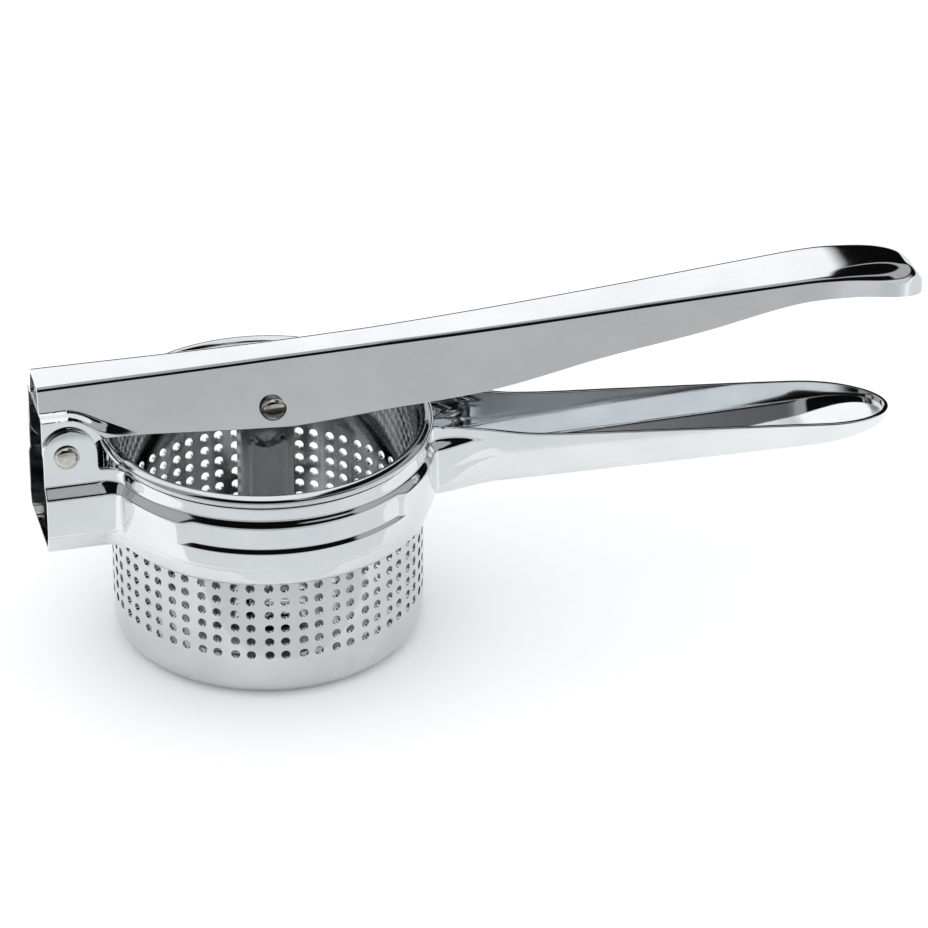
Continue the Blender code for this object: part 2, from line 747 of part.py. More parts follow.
def slab(shape, outline, low, high):
    """A flat plate: an outline in (x, y) pushed up along Z."""
    ends = []
    for level in (low, high):
        ring = [shape.verts.new((x, y, level)) for x, y in outline]
        shape.faces.new(ring)
        ends.append(ring)
    bridge(shape, ends[0], ends[1], close=True)


def disc_rivet_places():
    reach = STEM_HALF_DEPTH + STEM_FOOT_LENGTH * 0.55
    for side in (-1.0, 1.0):
        for shift in (-DISC_RIVET_SPREAD, DISC_RIVET_SPREAD):
            yield STEM_CENTRE_X + shift, side * reach


def add_disc_hole(shape, x, y, low, high):
    radius = DISC_RIVET_RADIUS + PIN_CLEARANCE
    outline = []
    for step in range(8):
        angle = math.pi * (0.125 + 0.25 * step)
        outline.append((x + radius * math.cos(angle), y + radius * math.sin(angle)))
    slab(shape, outline, low, high)


def make_disc(metal, pivot):
    """The pressing disc: flat, with a short lip turned up round its rim."""
    reach = DISC_RADIUS
    profile = [
        (0.0, DISC_BOTTOM),
        (reach - DISC_TURN, DISC_BOTTOM),
        (reach - DISC_EDGE, DISC_BOTTOM + DISC_EDGE),
        (reach, DISC_BOTTOM + DISC_LIP),
        (reach - DISC_SHEET * 0.8, DISC_BOTTOM + DISC_LIP),
        (reach - DISC_TURN * 1.2, DISC_BOTTOM + DISC_SHEET),
        (0.0, DISC_BOTTOM + DISC_SHEET),
    ]
    mesh = turned_mesh("plunger_disc", profile, 40, centre=(DISC_CENTRE_X, 0.0))
    disc = add_object("plunger_disc", mesh, metal, pivot)
    holes = bmesh.new()
    for x, y in disc_rivet_places():
        add_disc_hole(holes, x, y, DISC_BOTTOM - SHEET, DISC_BOTTOM + DISC_SHEET + SHEET)
    cut(disc, mesh_from(holes, "disc_hole_cutters"), pivot)
    return disc


def make_disc_rivets(metal, pivot):
    """Short rivets that hold the stem's feet on the disc."""
    foot_top = DISC_BOTTOM + DISC_SHEET + GAP + SHEET
    head = foot_top + GAP
    low = DISC_BOTTOM - GAP
    for number, (x, y) in enumerate(disc_rivet_places(), start=1):
        profile = [
            (0.0, low - DISC_RIVET_FOOT),
            (DISC_RIVET_HEAD * 0.8, low - DISC_RIVET_FOOT),
            (DISC_RIVET_HEAD, low),
            (DISC_RIVET_RADIUS, low),
            (DISC_RIVET_RADIUS, head),
            (DISC_RIVET_HEAD, head),
            (DISC_RIVET_HEAD * 0.7, head + DISC_RIVET_TOP),
            (0.0, head + DISC_RIVET_TOP),
        ]
        name = f"disc_rivet_{number}"
        add_object(name, turned_mesh(name, profile, 8, centre=(x, y)), metal, pivot)


def main():
    clear_scene()
    chrome = steel("chromed_steel", (0.86, 0.87, 0.88), 0.10)
    polished = steel("polished_steel", (0.82, 0.83, 0.84), 0.16)
    rivet_metal = steel("rivet_steel", (0.72, 0.72, 0.70), 0.28)
    lever_pivot = pivot_at("lever_pivot", HINGE_X, HINGE_Z)
    plunger_pivot = pivot_at("plunger_pivot", PLUNGER_PIN_X, PLUNGER_PIN_Z)
    make_basket(polished)
    make_frame(chrome)
    make_lever(chrome, lever_pivot)
    rivet("hinge_pin", HINGE_X, HINGE_Z, BRACKET_HALF_WIDTH, rivet_metal)
    lobe_inside = lever_lobe() - SHEET
    sleeve("hinge_sleeve", HINGE_X, HINGE_Z, lobe_inside - FIT, rivet_metal)
    rivet("plunger_pin", PLUNGER_PIN_X, PLUNGER_PIN_Z, lever_wall_at_pin(), rivet_metal, lever_pivot)
    sleeve("plunger_sleeve", PLUNGER_PIN_X, PLUNGER_PIN_Z, STEM_HALF_DEPTH, rivet_metal, lever_pivot)
    make_stem(polished, plunger_pivot)
    make_disc(polished, plunger_pivot)
    make_disc_rivets(rivet_metal, plunger_pivot)


main()
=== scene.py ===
import math

import bmesh
import bpy
from mathutils import Matrix, Vector


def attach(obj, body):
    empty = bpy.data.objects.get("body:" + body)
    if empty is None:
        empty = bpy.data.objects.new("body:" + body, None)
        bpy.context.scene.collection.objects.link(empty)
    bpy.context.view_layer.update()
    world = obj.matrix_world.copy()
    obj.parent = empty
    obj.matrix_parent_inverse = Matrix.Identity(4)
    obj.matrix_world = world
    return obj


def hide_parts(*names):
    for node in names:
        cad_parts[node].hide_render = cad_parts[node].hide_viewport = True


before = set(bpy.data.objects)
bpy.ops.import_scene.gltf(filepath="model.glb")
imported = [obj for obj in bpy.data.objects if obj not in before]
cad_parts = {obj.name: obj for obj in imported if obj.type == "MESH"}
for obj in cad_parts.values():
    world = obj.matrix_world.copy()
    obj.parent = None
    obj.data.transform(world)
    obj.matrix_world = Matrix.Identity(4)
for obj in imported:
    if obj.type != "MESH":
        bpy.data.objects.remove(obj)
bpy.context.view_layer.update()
mm = 0.001
print("frame loaded")


# small helpers

def smoothStep(low, high, value):
    t = min(max((value - low) / (high - low), 0.0), 1.0)
    return t * t * (3.0 - 2.0 * t)


def straightCurve(table, x):
    # straight between the given (x, value) points
    if x <= table[0][0]:
        return table[0][1]
    for (x0, v0), (x1, v1) in zip(table, table[1:]):
        if x <= x1:
            return v0 + (v1 - v0) * (x - x0) / (x1 - x0)
    return table[-1][1]


def easedCurve(table, x):
    # through the given (x, value) points with no kinks
    if x <= table[0][0]:
        return table[0][1]
    points = [table[0], *table, table[-1]]
    for before, (x0, v0), (x1, v1), after in zip(points, points[1:], points[2:], points[3:]):
        if x <= x1 and x1 > x0:
            t = (x - x0) / (x1 - x0)
            slope0 = (v1 - before[1]) / (x1 - before[0]) * (x1 - x0)
            slope1 = (after[1] - v0) / (after[0] - x0) * (x1 - x0)
            start = (2 * t**3 - 3 * t**2 + 1) * v0 + (t**3 - 2 * t**2 + t) * slope0
            return start + (3 * t**2 - 2 * t**3) * v1 + (t**3 - t**2) * slope1
    return table[-1][1]


def softLine(points, reaches, cornerSteps=6, runSteps=3):
    # a bent line with every corner rounded off, always the same number of points
    points = [Vector(p) for p in points]
    line = [points[0]]
    for before, corner, after, reach in zip(points, points[1:], points[2:], reaches):
        back = before - corner
        ahead = after - corner
        first = corner + back * min(reach / max(back.length, 0.001), 0.48)
        last = corner + ahead * min(reach / max(ahead.length, 0.001), 0.48)
        line += [line[-1].lerp(first, step / runSteps) for step in range(1, runSteps + 1)]
        for step in range(1, cornerSteps + 1):
            t = step / cornerSteps
            line.append(first * (1 - t) ** 2 + corner * (2 * t * (1 - t)) + last * t * t)
    line += [line[-1].lerp(points[-1], step / runSteps) for step in range(1, runSteps + 1)]
    return line


def addPiece(name, mesh, material, body, nodes, smoothAngle=40.0):
    # every piece is built in place, rides on its body and stands for its solids
    piece = bpy.data.objects.new(name, mesh)
    bpy.context.scene.collection.objects.link(piece)
    mesh.materials.append(material)
    mesh.shade_smooth()
    mesh.set_sharp_from_angle(angle=math.radians(smoothAngle))
    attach(piece, body)
    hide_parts(*nodes)
    return piece


def finishMesh(shape, name, outward=None):
    bmesh.ops.remove_doubles(shape, verts=shape.verts, dist=0.000002)
    bmesh.ops.dissolve_degenerate(shape, edges=shape.edges, dist=0.000002)
    bmesh.ops.recalc_face_normals(shape, faces=shape.faces)
    if outward is None:
        flip = shape.calc_volume(signed=True) < 0.0
    else:
        flip = sum(
            face.normal.dot(outward(face.calc_center_median())) * face.calc_area() for face in shape.faces
        ) < 0.0
    if flip:
        bmesh.ops.reverse_faces(shape, faces=shape.faces)
    mesh = bpy.data.meshes.new(name)
    shape.to_mesh(mesh)
    shape.free()
    return mesh


def addGrid(shape, rows, mirror=False):
    sides = (1.0, -1.0) if mirror else (1.0,)
    for side in sides:
        grid = [[shape.verts.new((x, y * side, z)) for x, y, z in row] for row in rows]
        for first, second in zip(grid, grid[1:]):
            for a, b, c, d in zip(first, first[1:], second[1:], second):
                shape.faces.new((a, b, c, d))


def thicken(piece, thickness, edge, sharp=38.0):
    # one sheet thickness inwards from the outer skin, with its cut edges eased
    sheet = piece.modifiers.new("sheet", "SOLIDIFY")
    sheet.thickness = thickness
    sheet.offset = -1.0
    sheet.use_even_offset = False
    if edge:
        eased = piece.modifiers.new("easedEdge", "BEVEL")
        eased.width = edge
        eased.segments = 2
        eased.limit_method = "ANGLE"
        eased.angle_limit = math.radians(60.0)
    bpy.context.view_layer.update()
    graph = bpy.context.evaluated_depsgraph_get()
    solid = bpy.data.meshes.new_from_object(piece.evaluated_get(graph), depsgraph=graph)
    piece.modifiers.clear()
    piece.data = solid
    solid.set_sharp_from_angle(angle=math.radians(sharp))


def turnedMesh(name, profile, steps, centre=(0.0, 0.0), alongY=False):
    # a closed outline of (radius, height) turned about the vertical, or about the line along Y
    shape = bmesh.new()
    rings = []
    for radius, height in profile:
        ring = []
        for step in range(steps):
            angle = 2 * math.pi * step / steps
            across = centre[0] + radius * math.cos(angle)
            if alongY:
                ring.append(shape.verts.new((across, height, centre[1] + radius * math.sin(angle))))
            else:
                ring.append(shape.verts.new((across, centre[1] + radius * math.sin(angle), height)))
        rings.append(ring)
    for first, second in zip(rings, rings[1:]):
        for a, b, c, d in zip(first, first[1:] + first[:1], second[1:] + second[:1], second):
            shape.faces.new((a, b, c, d))
    return finishMesh(shape, name)


# materials

def linear(hexColour):
    # an sRGB hex colour as the linear values that a shader takes
    found = []
    for start in (1, 3, 5):
        value = int(hexColour[start:start + 2], 16) / 255.0
        found.append(value / 12.92 if value <= 0.04045 else ((value + 0.055) / 1.055) ** 2.4)
    return (*found, 1.0)


def addNode(tree, kind, settings=None, links=None, **properties):
    # settings and links name the new node's own inputs
    node = tree.nodes.new(kind)
    for key, value in properties.items():
        setattr(node, key, value)
    for key, value in (settings or {}).items():
        node.inputs[key].default_value = value
    for key, (source, output) in (links or {}).items():
        tree.links.new(source.outputs[output], node.inputs[key])
    return node


chromeLooks = {
    "tint": "#E4E7E9",
    "tintShade": "#DBDEE0",
    "roughLow": 0.035,
    "roughHigh": 0.095,
    "ripple": 12.0,  # mm between the long waves that pressing leaves
    "rippleDepth": 0.0045,  # mm
    "scratch": 0.22,  # mm between polishing lines, drawn coarser than the real 0.02 mm so that it shows
    "smudge": 18.0,  # mm across a handling smudge
}
stainlessLooks = {
    "tint": "#D3D5D6",
    "tintShade": "#C8CACB",
    "roughLow": 0.06,
    "roughHigh": 0.13,
    "ripple": 7.0,
    "rippleDepth": 0.004,
    "scratch": 0.3,
    "smudge": 11.0,
}
brushedLooks = {
    "tint": "#CFD0D0",
    "tintShade": "#BFC1C1",
    "roughLow": 0.17,
    "roughHigh": 0.24,
    "ripple": 9.0,
    "rippleDepth": 0.001,
    "scratch": 0.06,
    "smudge": 9.0,
}
rivetLooks = {
    "tint": "#D6D4CC",
    "tintShade": "#B7B4AA",
    "roughLow": 0.10,
    "roughHigh": 0.22,
    "ripple": 1.4,  # mm across a peening mark
    "rippleDepth": 0.02,
    "scratch": 0.15,
    "smudge": 2.0,
}


def brightMetal(name, looks, stretch):
    # chromium plate or polished steel: a mirror with faint ripples, fine polishing lines and smudges
    material = bpy.data.materials.new(name)
    material.use_nodes = True
    tree = material.node_tree
    shader = tree.nodes["Principled BSDF"]
    shader.inputs["Metallic"].default_value = 1.0
    place = addNode(tree, "ShaderNodeTexCoord")
    smudge = addNode(
        tree,
        "ShaderNodeTexNoise",
        {"Scale": 1000.0 / looks["smudge"], "Detail": 4.0, "Roughness": 0.6},
        {"Vector": (place, "Object")},
    )
    drawn = addNode(tree, "ShaderNodeMapping", {"Scale": stretch}, {"Vector": (place, "Object")})
    lines = addNode(
        tree,
        "ShaderNodeTexNoise",
        {"Scale": 1000.0 / looks["scratch"], "Detail": 2.0},
        {"Vector": (drawn, "Vector")},
    )
    ripple = addNode(
        tree,
        "ShaderNodeTexNoise",
        {"Scale": 1000.0 / looks["ripple"], "Detail": 1.5},
        {"Vector": (place, "Object")},
    )
    ramp = addNode(tree, "ShaderNodeValToRGB", None, {"Fac": (smudge, "Fac")})
    ramp.color_ramp.elements[0].position = 0.35
    ramp.color_ramp.elements[0].color = linear(looks["tint"])
    ramp.color_ramp.elements[1].position = 0.75
    ramp.color_ramp.elements[1].color = linear(looks["tintShade"])
    tree.links.new(ramp.outputs["Color"], shader.inputs["Base Color"])
    mixed = addNode(tree, "ShaderNodeMath", {1: 0.45}, {0: (lines, "Fac")}, operation="MULTIPLY")
    worn = addNode(
        tree,
        "ShaderNodeMath",
        {1: 0.55},
        {0: (smudge, "Fac"), 2: (mixed, "Value")},
        operation="MULTIPLY_ADD",
    )
    rough = addNode(
        tree, "ShaderNodeMapRange",
        {"From Min": 0.3, "From Max": 0.75, "To Min": looks["roughLow"], "To Max": looks["roughHigh"]},
        {"Value": (worn, "Value")},
    )
    tree.links.new(rough.outputs["Result"], shader.inputs["Roughness"])
    waves = addNode(
        tree,
        "ShaderNodeBump",
        {"Strength": 1.0, "Distance": looks["rippleDepth"] * mm},
        {"Height": (ripple, "Fac")},
    )
    fine = addNode(
        tree,
        "ShaderNodeBump",
        {"Strength": 0.25, "Distance": 0.0004 * mm},
        {"Height": (lines, "Fac"), "Normal": (waves, "Normal")},
    )
    tree.links.new(fine.outputs["Normal"], shader.inputs["Normal"])
    return material


# nickel-chromium plate on pressed carbon steel: the brightest mirror, slightly cool
chromedPressing = brightMetal("chromedPressedSteel", chromeLooks, (0.04, 1.0, 1.0))
# stainless steel, deep drawn and polished round the cup: a softer, greyer mirror
polishedStainless = brightMetal("polishedDrawnStainless", stainlessLooks, (1.0, 1.0, 8.0))
# stainless strip, folded and left brushed: a satin that blurs what it reflects
brushedStainless = brightMetal("brushedFoldedStainless", brushedLooks, (1.0, 1.0, 0.1))
# zinc-bright steel wire, cut and peened: small warm domes with hammer marks
peenedSteel = brightMetal("peenedRivetSteel", rivetLooks, (1.0, 1.0, 1.0))
print("materials made")


# basket: one drawn cup, inner skin first, its rim rolled outwards

basket = {
    "radius": 42.0,
    "height": 62.9,
    "wall": 0.9,
    "corner": 6.0,
    "bead": 1.6,
    "pairs": 29,
    "rows": 6,
    "rowPitch": 4.1,
    "lowestRow": 13.7,
    "hole": 1.25,
    "spacing": 4.2,
    "firstPair": math.radians(-161.1),
    "floorRings": 4,
    "floorPitch": 8.0,
}


def basketColumns():
    # angles of the upright grid lines: four segments over each hole, one between pairs
    half = basket["spacing"] / basket["radius"]
    angles = []
    for pair in range(basket["pairs"]):
        middle = basket["firstPair"] + 2 * math.pi * pair / basket["pairs"]
        angles += [middle - half + half * step / 4 for step in range(9)]
    return angles


def makeBasket():
    shape = bmesh.new()
    inside = basket["radius"] - basket["wall"]
    columns = basketColumns()
    count = len(columns)

    def atWall(angle, height, radius=inside):
        return shape.verts.new((radius * math.cos(angle) * mm, radius * math.sin(angle) * mm, height * mm))

    halfPitch = 0.5 * basket["rowPitch"]
    bottom = basket["lowestRow"] - halfPitch
    levels = [bottom + basket["rowPitch"] * row / 4 for row in range(4 * basket["rows"] + 1)]
    kept = {}

    def gridVertex(column, row):
        key = (column % count, row)
        if key not in kept:
            kept[key] = atWall(columns[key[0]], levels[row])
        return kept[key]

    # the perforated band
    halfAngle = 0.5 * basket["spacing"] / basket["radius"]
    for pair in range(basket["pairs"]):
        first = 9 * pair
        for row in range(0, 4 * basket["rows"]):
            corners = ((first + 8, row), (first + 9, row), (first + 9, row + 1), (first + 8, row + 1))
            shape.faces.new([gridVertex(*corner) for corner in corners])
        for hole in range(2):
            start = first + 4 * hole
            middle = columns[first + 4] + (2 * hole - 1) * halfAngle
            for row in range(basket["rows"]):
                low = 4 * row
                border = [(start + step, low) for step in range(4)]
                border += [(start + 4, low + step) for step in range(4)]
                border += [(start + 4 - step, low + 4) for step in range(4)]
                border += [(start, low + 4 - step) for step in range(4)]
                outline = [gridVertex(*corner) for corner in border]
                height = basket["lowestRow"] + basket["rowPitch"] * row
                rings = [outline]
                for reach in (1.62, 1.0):
                    ring = []
                    for step in range(16):
                        turn = math.radians(-135.0 + 22.5 * step)
                        radius = basket["hole"] * reach
                        if reach > 1.0:
                            radius *= 1.0 + 0.08 * abs(math.sin(2 * turn))
                        across = radius * math.cos(turn) / basket["radius"]
                        ring.append(atWall(middle + across, height + radius * math.sin(turn)))
                    rings.append(ring)
                for outer, inner in zip(rings, rings[1:]):
                    for step in range(16):
                        after = (step + 1) % 16
                        shape.faces.new((outer[step], outer[after], inner[after], inner[step]))

    # plain wall above, over the rolled rim and down outside it
    centre = basket["radius"] + basket["bead"] - 0.5 * basket["wall"] - 0.225
    across = centre - inside
    upper = basket["height"] - basket["bead"]
    profile = []
    for step in range(1, 13):
        profile.append((inside, levels[-1] + (upper - levels[-1]) * step / 12))
    for step in range(1, 21):
        turn = math.radians(180.0 - 17.0 * step)
        profile.append((centre + across * math.cos(turn), upper + basket["bead"] * math.sin(turn)))
    below = [gridVertex(column, len(levels) - 1) for column in range(count)]
    for radius, height in profile:
        ring = [atWall(angle, height, radius) for angle in columns]
        for column in range(count):
            after = (column + 1) % count
            shape.faces.new((below[column], below[after], ring[after], ring[column]))
        below = ring

    # wall below the holes, the corner and the floor
    small = basket["corner"] - basket["wall"]
    profile = [(inside, bottom + (basket["corner"] - bottom) * step / 4) for step in range(1, 5)]
    for step in range(1, 11):
        turn = math.radians(9.0 * step)
        reach = basket["radius"] - basket["corner"] + small * math.cos(turn)
        profile.append((reach, basket["corner"] - small * math.sin(turn)))
    above = [gridVertex(column, 0) for column in range(count)]
    for radius, height in profile:
        ring = [atWall(angle, height, radius) for angle in columns]
        for column in range(count):
            after = (column + 1) % count
            shape.faces.new((above[column], above[after], ring[after], ring[column]))
        above = ring
    edges = [shape.edges.get((above[column], above[(column + 1) % count])) for column in range(count)]
    for ring in range(1, basket["floorRings"] + 1):
        for step in range(6 * ring):
            angle = math.pi * step / (3 * ring)
            reach = basket["floorPitch"] * ring
            hole = []
            for corner in range(14):
                turn = 2 * math.pi * corner / 14
                x = reach * math.cos(angle) + basket["hole"] * math.cos(turn)
                y = reach * math.sin(angle) + basket["hole"] * math.sin(turn)
                hole.append(shape.verts.new((x * mm, y * mm, basket["wall"] * mm)))
            edges += [shape.edges.new((a, b)) for a, b in zip(hole, hole[1:] + hole[:1])]
    bmesh.ops.triangle_fill(shape, edges=edges, use_beauty=True, use_dissolve=False, normal=(0.0, 0.0, 1.0))
    mesh = finishMesh(shape, "basketCup", lambda at: Vector((-at.x, -at.y, 0.03 - at.z)))
    cup = addPiece("basketCup", mesh, polishedStainless, "basket_body", ["basket"])
    thicken(cup, basket["wall"] * mm, 0.0)
    return cup


makeBasket()
print("basket made")


# frame: bracket, ring and lower handle pressed from one sheet

pressing = {
    "sheet": 1.2,
    "ring": 43.6,
    "ringTop": 59.4,
    "bottom": 36.0,
    "ledgeTop": 55.8,
    "ledgeDrop": 2.6,
    "ledgeStep": 1.92,
    "bend": 41.8,
    "hole": 42.4,
    "bracketHalf": 12.2,
    "bracketLeft": -61.72,
    "fillet": 7.0,
    "earRadius": 7.3,
    "earX": -54.9,
    "earZ": 64.4,
    "earFoot": 1.5,
    "handleHalf": 13.0,
    "rootHalf": 12.2,
    "handleEnd": 175.0,
    "handleRound": 23.0,
    "draft": math.radians(7.0),
    "groove": 0.18,  # depth of the line struck round the ring where it turns in
    "bracketWider": 0.6,  # how much further the ledge stands out along the bracket
    "recess": 0.75,  # depth of the long panel pressed into the ring on each side
    "recessHalf": math.radians(43.0),
    "recessFoot": 46.8,
}
handleEdge = ((46.0, 59.0), (58.0, 56.3), (72.0, 53.1), (100.0, 50.2), (150.0, 45.4), (175.0, 42.5))


def framePath():
    # (x, y, height of the upper edge) along the front wall, hinge end first
    ring = pressing["ring"]
    fillet = pressing["fillet"]
    half = pressing["bracketHalf"]
    top = pressing["ringTop"]
    middleY = half + fillet
    middleX = math.sqrt((ring + fillet) ** 2 - middleY**2)
    start = math.atan2(middleY, middleX)
    path = []
    earStart = math.acos((pressing["bracketLeft"] - pressing["earX"]) / pressing["earRadius"])
    for step in range(33):
        angle = earStart * (1 - step / 32)
        x = pressing["earX"] + pressing["earRadius"] * math.cos(angle)
        path.append((x, -half, pressing["earZ"] + pressing["earRadius"] * math.sin(angle)))
    earEnd = pressing["earX"] + pressing["earRadius"]
    foot = min(pressing["earFoot"], -middleX - earEnd - 0.02)
    path.append((earEnd + 0.02, -half, top + pressing["earFoot"]))
    for step in range(1, 7):
        angle = math.radians(15.0 * step)
        x = earEnd + 0.02 + foot * (1 - math.cos(angle))
        path.append((x, -half, top + pressing["earFoot"] * (1 - math.sin(angle))))
    for step in range(0, 14):
        angle = math.pi / 2 - (math.pi / 2 - start) * step / 14
        path.append((-middleX + fillet * math.cos(angle), -middleY + fillet * math.sin(angle), top))
    rootTurn = math.asin(pressing["rootHalf"] / ring)
    ringEnd = rootTurn + 3.0 / ring
    for step in range(111):
        angle = math.pi + start + (math.pi - start - ringEnd) * step / 110
        path.append((ring * math.cos(angle), ring * math.sin(angle), top))
    corner = Vector((ring * math.cos(rootTurn), -pressing["rootHalf"]))
    first = Vector(path[-1][:2])
    last = corner + Vector((3.2, 0.0))
    for step in range(1, 11):
        t = step / 10
        x, y = first * (1 - t) ** 2 + corner * (2 * t * (1 - t)) + last * t * t
        path.append((x, y, top))
    roundStart = pressing["handleEnd"] - pressing["handleRound"]
    for step in range(1, 71):
        x = last.x + (roundStart - last.x) * (step / 70) ** 1.25
        widening = smoothStep(last.x, roundStart, x)
        wide = pressing["rootHalf"] + (pressing["handleHalf"] - pressing["rootHalf"]) * widening
        path.append((x, -wide, None))
    for step in range(1, 33):
        angle = math.pi / 2 * (1 - step / 32)
        x = roundStart + pressing["handleRound"] * math.cos(angle)
        path.append((x, -pressing["handleHalf"] * math.sin(angle), None))
    finished = []
    for x, y, edge in path:
        falling = easedCurve(handleEdge, x)
        if edge is None or x > handleEdge[0][0]:
            edge = falling
        if 43.0 < x < 46.0:
            edge -= (top - handleEdge[0][1]) * smoothStep(43.0, 46.0, x)
        finished.append((x, y, edge))
    return finished


def frameSection(edge, floor, handle, recess, wider):
    # (offset out of the wall's line, height) down the outer skin to where the floor starts
    step = pressing["ledgeStep"]
    ledgeTop = pressing["ledgeTop"]
    low = ledgeTop - pressing["ledgeDrop"]
    foot = pressing["recessFoot"]
    bend = pressing["bend"]
    groove = pressing["groove"]
    ring = [
        (0.0, edge),
        (0.0, ledgeTop),
        (step + wider - recess, low + recess * 1.2),
        (step + wider - recess, foot + 0.1 + 1.5 * recess),
        (step + wider, foot),
        (step + wider, bend + 0.5),
        (step + wider - groove, bend),
        (step + wider - 0.6 * groove, bend - 0.5),
        (step - 1.2, floor + 1.2),
        (step - 2.2, floor),
        (step - 3.2, floor),
    ]
    ringLine = softLine(ring, (0.7, 0.7, 0.3, 0.3, 0.2, 0.2, 0.2, 0.8, 0.7), 5)
    drop = edge - floor
    lean = math.tan(pressing["draft"])
    shares = (0.0, 0.12, 0.22, 0.32, 0.42, 0.52, 0.6, 0.68, 0.76)
    plain = [(-drop * share * lean, edge - drop * share) for share in shares]
    plain += [(-drop * lean, floor), (-drop * lean - 4.2, floor)]
    plainLine = softLine(plain, (0.6,) * 8 + (3.4,), 5)
    return [a.lerp(b, handle) for a, b in zip(ringLine, plainLine)]


def rimAngle(x, y):
    # where on the floor's round hole the section at (x, y) ends
    turn = math.degrees(math.atan2(-y, -x))
    return math.radians(
        180.0 + straightCurve(((14.6, 0.0), (35.0, 35.0), (150.0, 150.0), (164.0, 180.0)), turn)
    )


def makeFrame():
    path = framePath()
    rows = []
    for index, (x, y, edge) in enumerate(path):
        before = path[max(index - 1, 0)]
        after = path[min(index + 1, len(path) - 1)]
        along = Vector((after[0] - before[0], after[1] - before[1])).normalized()
        normal = Vector((along.y, -along.x))
        if index == len(path) - 1:
            normal = Vector((1.0, 0.0))
        handle = smoothStep(43.0, 62.0, x)
        floor = pressing["bottom"] + 2.6 * smoothStep(37.5, 43.0, x) + 1.4 * smoothStep(150.0, 175.0, x)
        turn = abs(math.atan2(-y, -x) - math.pi / 2)
        onRing = math.hypot(x, y) < pressing["ring"] + 0.2
        fading = 1.0 - smoothStep(0.86, 1.0, turn / pressing["recessHalf"])
        recess = pressing["recess"] * fading if onRing else 0.0
        wider = pressing["bracketWider"] * smoothStep(-42.0, -47.0, x)
        section = frameSection(edge, floor, handle, recess, wider)
        row = [Vector((x + normal.x * offset, y + normal.y * offset, z)) for offset, z in section]
        onHole = -46.9 < x < 45.0 and abs(y) > 12.0
        if onHole:
            angle = rimAngle(x, y)
            end = Vector((pressing["hole"] * math.cos(angle), pressing["hole"] * math.sin(angle), floor))
        else:
            end = Vector((row[-1].x, 0.0, floor))
        last = row[-1]
        if (Vector((0.0, 0.0)) - last.xy).length < pressing["hole"] + 0.05 and onHole:
            row[-1] = last = end.copy()
        row += [last.lerp(end, step / 4) for step in range(1, 5)]
        if index == len(path) - 1:
            row = [Vector((p.x, 0.0, p.z)) for p in row]
        rows.append([p * mm for p in row])
    shape = bmesh.new()
    addGrid(shape, rows, mirror=True)
    mesh = finishMesh(shape, "frameShell", lambda at: Vector((0.0, at.y, at.z - 0.055)))
    shell = addPiece("frameShell", mesh, chromedPressing, "frame_body", ["frame"])
    thicken(shell, pressing["sheet"] * mm, 0.22 * mm)
    for vertex in shell.data.vertices:
        vertex.co.z = max(vertex.co.z, pressing["bottom"] * mm)
    return shell


makeFrame()
print("frame made")


# lever: upper handle, one channel open below

lever = {
    "end": 182.8,
    "round": 17.0,
    "bend": 2.5,
    "noseBend": 5.6,  # the bend opens out to this at the thumb end
    "fullness": 2.3,
    "flare": math.radians(15.0),
    "lobe": 10.6,
    "lobeRadius": 10.0,
    "heel": 6.0,
    "blendRise": 1.0,  # how soon the flat lobe meets the flared side
    "wedge": math.radians(24.5),
    "hingeX": -55.7,
    "hingeZ": 64.4,
    "sheet": 1.2,
}
leverTop = (
    (-62.0, 82.9),
    (0.0, 83.2),
    (60.0, 84.8),
    (154.0, 89.6),
    (166.0, 89.5),
    (174.0, 88.3),
    (179.0, 85.9),
    (182.8, 80.8),
)
leverEdge = (
    (-46.0, 67.6), (0.0, 63.9), (8.0, 63.7), (40.0, 65.9), (62.0, 67.8), (90.0, 73.0),
    (118.0, 77.4), (145.0, 82.5), (160.0, 82.6), (172.0, 80.8), (182.8, 78.0),
)
leverHalfTop = ((-62.0, 6.0), (0.0, 4.9), (30.0, 5.0), (100.0, 7.2), (155.0, 9.6))


def lowerEdge(x):
    heel = lever["heel"] ** 2 - (x - lever["hingeX"]) ** 2
    if x <= lever["hingeX"]:
        return lever["hingeZ"] - math.sqrt(max(heel, 0.0))
    edge = easedCurve(leverEdge, x)
    bottom = lever["hingeZ"] - lever["heel"]
    return bottom + (edge - bottom) * smoothStep(lever["hingeX"], leverEdge[0][0], x)


def leverWall(x, z, top, halfTop, bend):
    # half width of the side wall, flared out to the round lobes at the hinge
    lean = lever["flare"]
    start = top - bend * (1.0 - math.sin(lean))
    wall = halfTop - bend * (1.0 - math.cos(lean)) + max(start - z, 0.0) * math.tan(lean)
    dx = x - lever["hingeX"]
    dz = z - lever["hingeZ"]
    radius = lever["lobeRadius"]
    reach = math.hypot(dx, dz) if dx > 0.0 else abs(dz)
    outside = reach - radius
    if math.atan2(dx, dz) > lever["wedge"]:
        reach = dx * math.sin(lever["wedge"]) + dz * math.cos(lever["wedge"])
    inside = radius + lever["blendRise"] - reach
    if outside <= 0.0:
        share = 1.0
    elif inside <= 0.0:
        share = 0.0
    else:
        share = inside / (inside + outside)
        share += 0.5 * (share * share * (3.0 - 2.0 * share) - share)
    return wall + (lever["lobe"] - wall) * share


